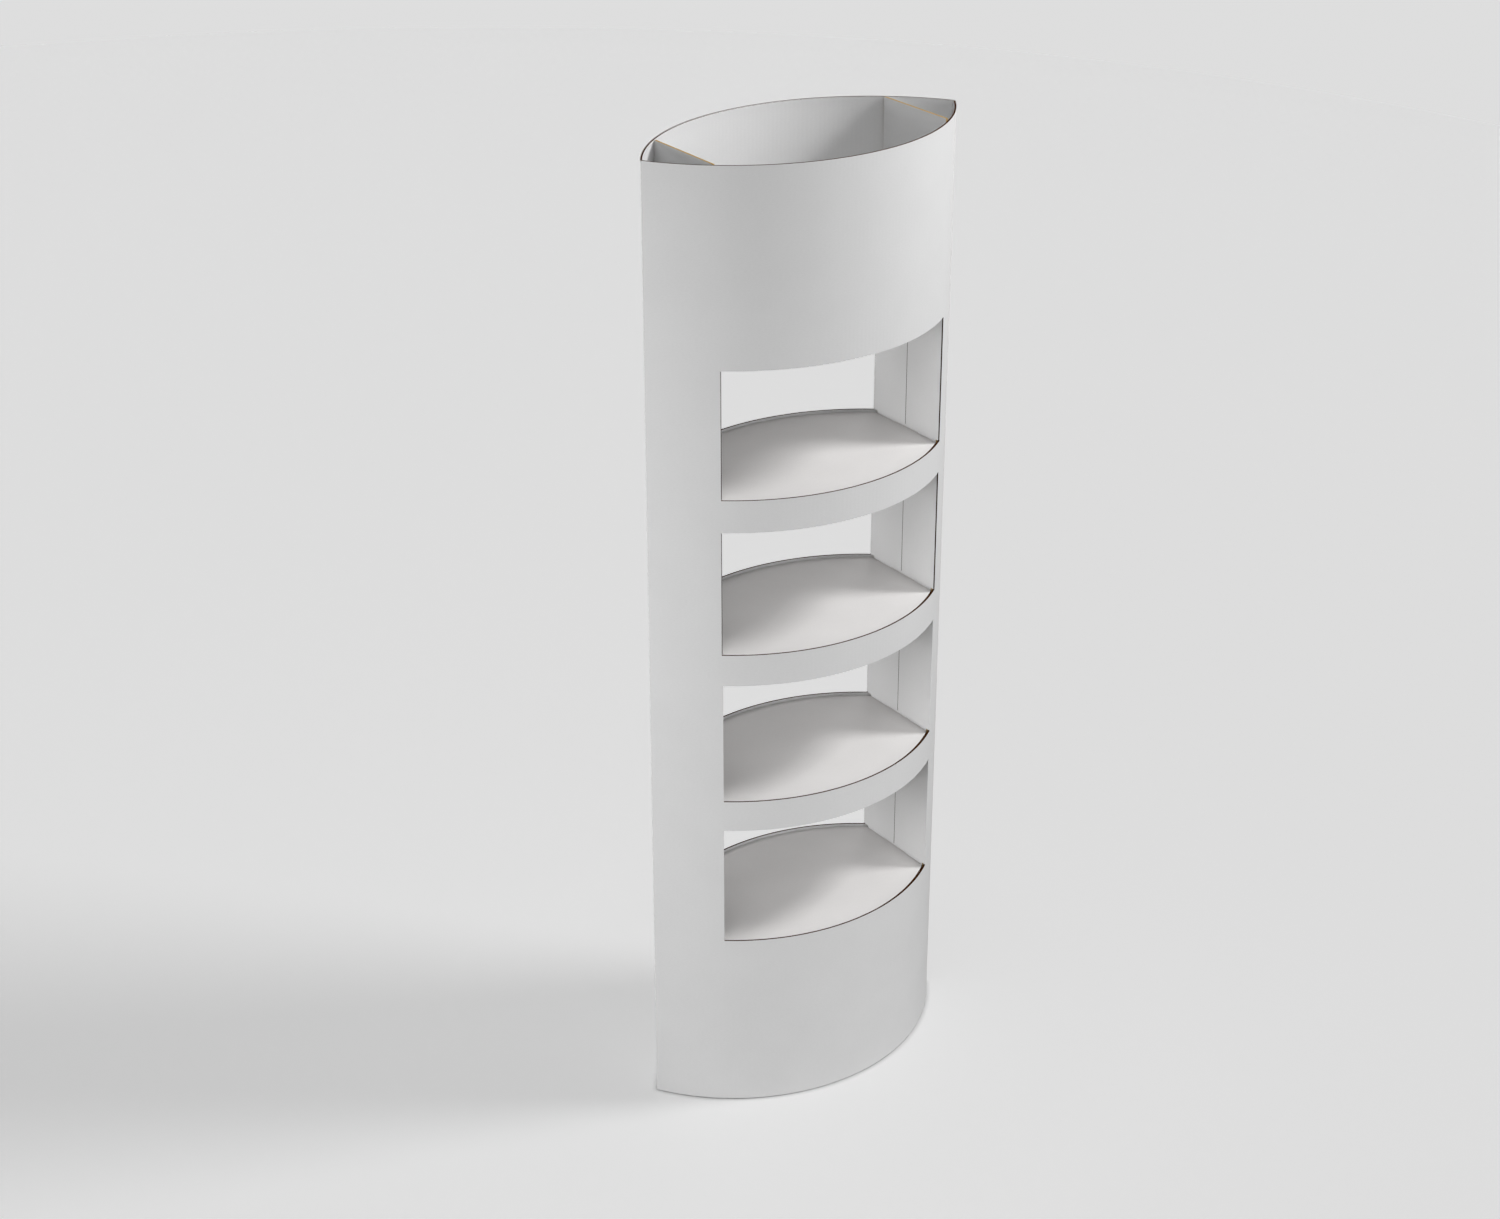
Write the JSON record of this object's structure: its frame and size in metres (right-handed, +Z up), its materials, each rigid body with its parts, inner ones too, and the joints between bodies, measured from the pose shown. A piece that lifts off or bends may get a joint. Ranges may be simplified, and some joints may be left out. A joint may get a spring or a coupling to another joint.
{
  "type": "cardboard display stand",
  "caption": "Tall floor display of white corrugated board: a lens-shaped sleeve with open windows front and rear, a shelf in each, and an open header.",
  "frame": {"origin": "on the floor, under the middle of the stand", "axes": "+Z up, X from crease to crease along the width, Y through the windows from front (-Y) to rear (+Y)"},
  "size_m": [0.4994, 0.272, 1.4],
  "materials": {
    "sleeve_board": "matte white liner, brown kraft core at cut edges",
    "inner_board": "matte white liner, light tan kraft core at cut edges"
  },
  "bodies": {
    "root": {"sleeve": "sleeve_board", "left_cross_wall": "inner_board", "right_cross_wall": "inner_board", "shelf_1": "inner_board", "shelf_2": "inner_board", "shelf_3": "inner_board", "shelf_4": "inner_board", "header_floor": "inner_board"}
  },
  "joints": []
}
